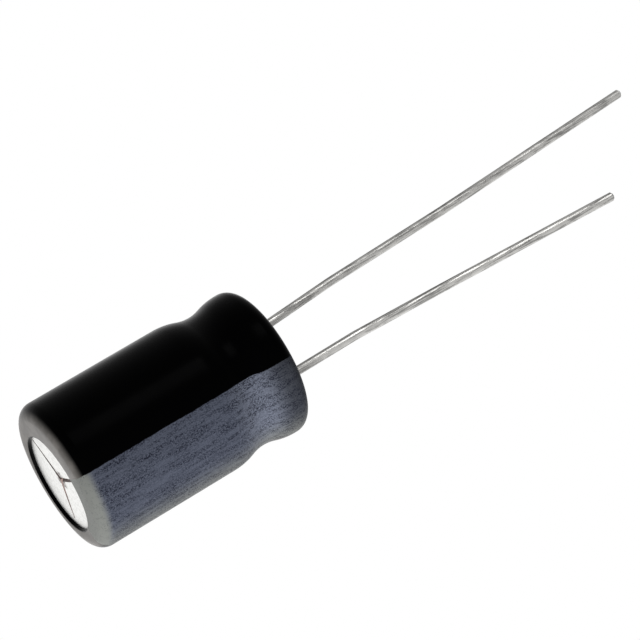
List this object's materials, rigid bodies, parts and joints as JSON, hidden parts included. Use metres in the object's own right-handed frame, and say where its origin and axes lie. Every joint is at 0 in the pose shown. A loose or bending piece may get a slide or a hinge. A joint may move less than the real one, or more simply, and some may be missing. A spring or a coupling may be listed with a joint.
{
  "type": "electrolytic capacitor",
  "caption": "Radial can capacitor: sleeved aluminium can with a scored vent and a beaded neck, a crimped rubber bung, and tinned wire leads, the anode's being the longer.",
  "frame": {"origin": "on the can's axis, on the seating plane under the sleeve's foot", "axes": "+Z along the can's axis, towards the vented end; the leads point down -Z, the anode lead on the -X side and the cathode lead on the +X side"},
  "size_m": [0.0102, 0.0102, 0.0488],
  "materials": {
    "sleeve": "shrunk plastic film, black with a slate-grey band",
    "can": "bright drawn aluminium",
    "bung": "matte black rubber",
    "wire": "tinned, drawn along its length",
    "tab": "satin",
    "etched_foil": "matte, etched",
    "plain_foil": "satin",
    "paper": "paper soaked with electrolyte",
    "tape": "thin film tape"
  },
  "bodies": {
    "root": {"sleeve": "sleeve", "can": "can", "bung": "bung", "anode_lead": "wire", "cathode_lead": "wire", "anode_tab": "tab", "cathode_tab": "tab", "anode_foil": "etched_foil", "cathode_foil": "plain_foil", "inner_separator": "paper", "outer_separator": "paper", "closing_tape": "tape"}
  },
  "joints": []
}
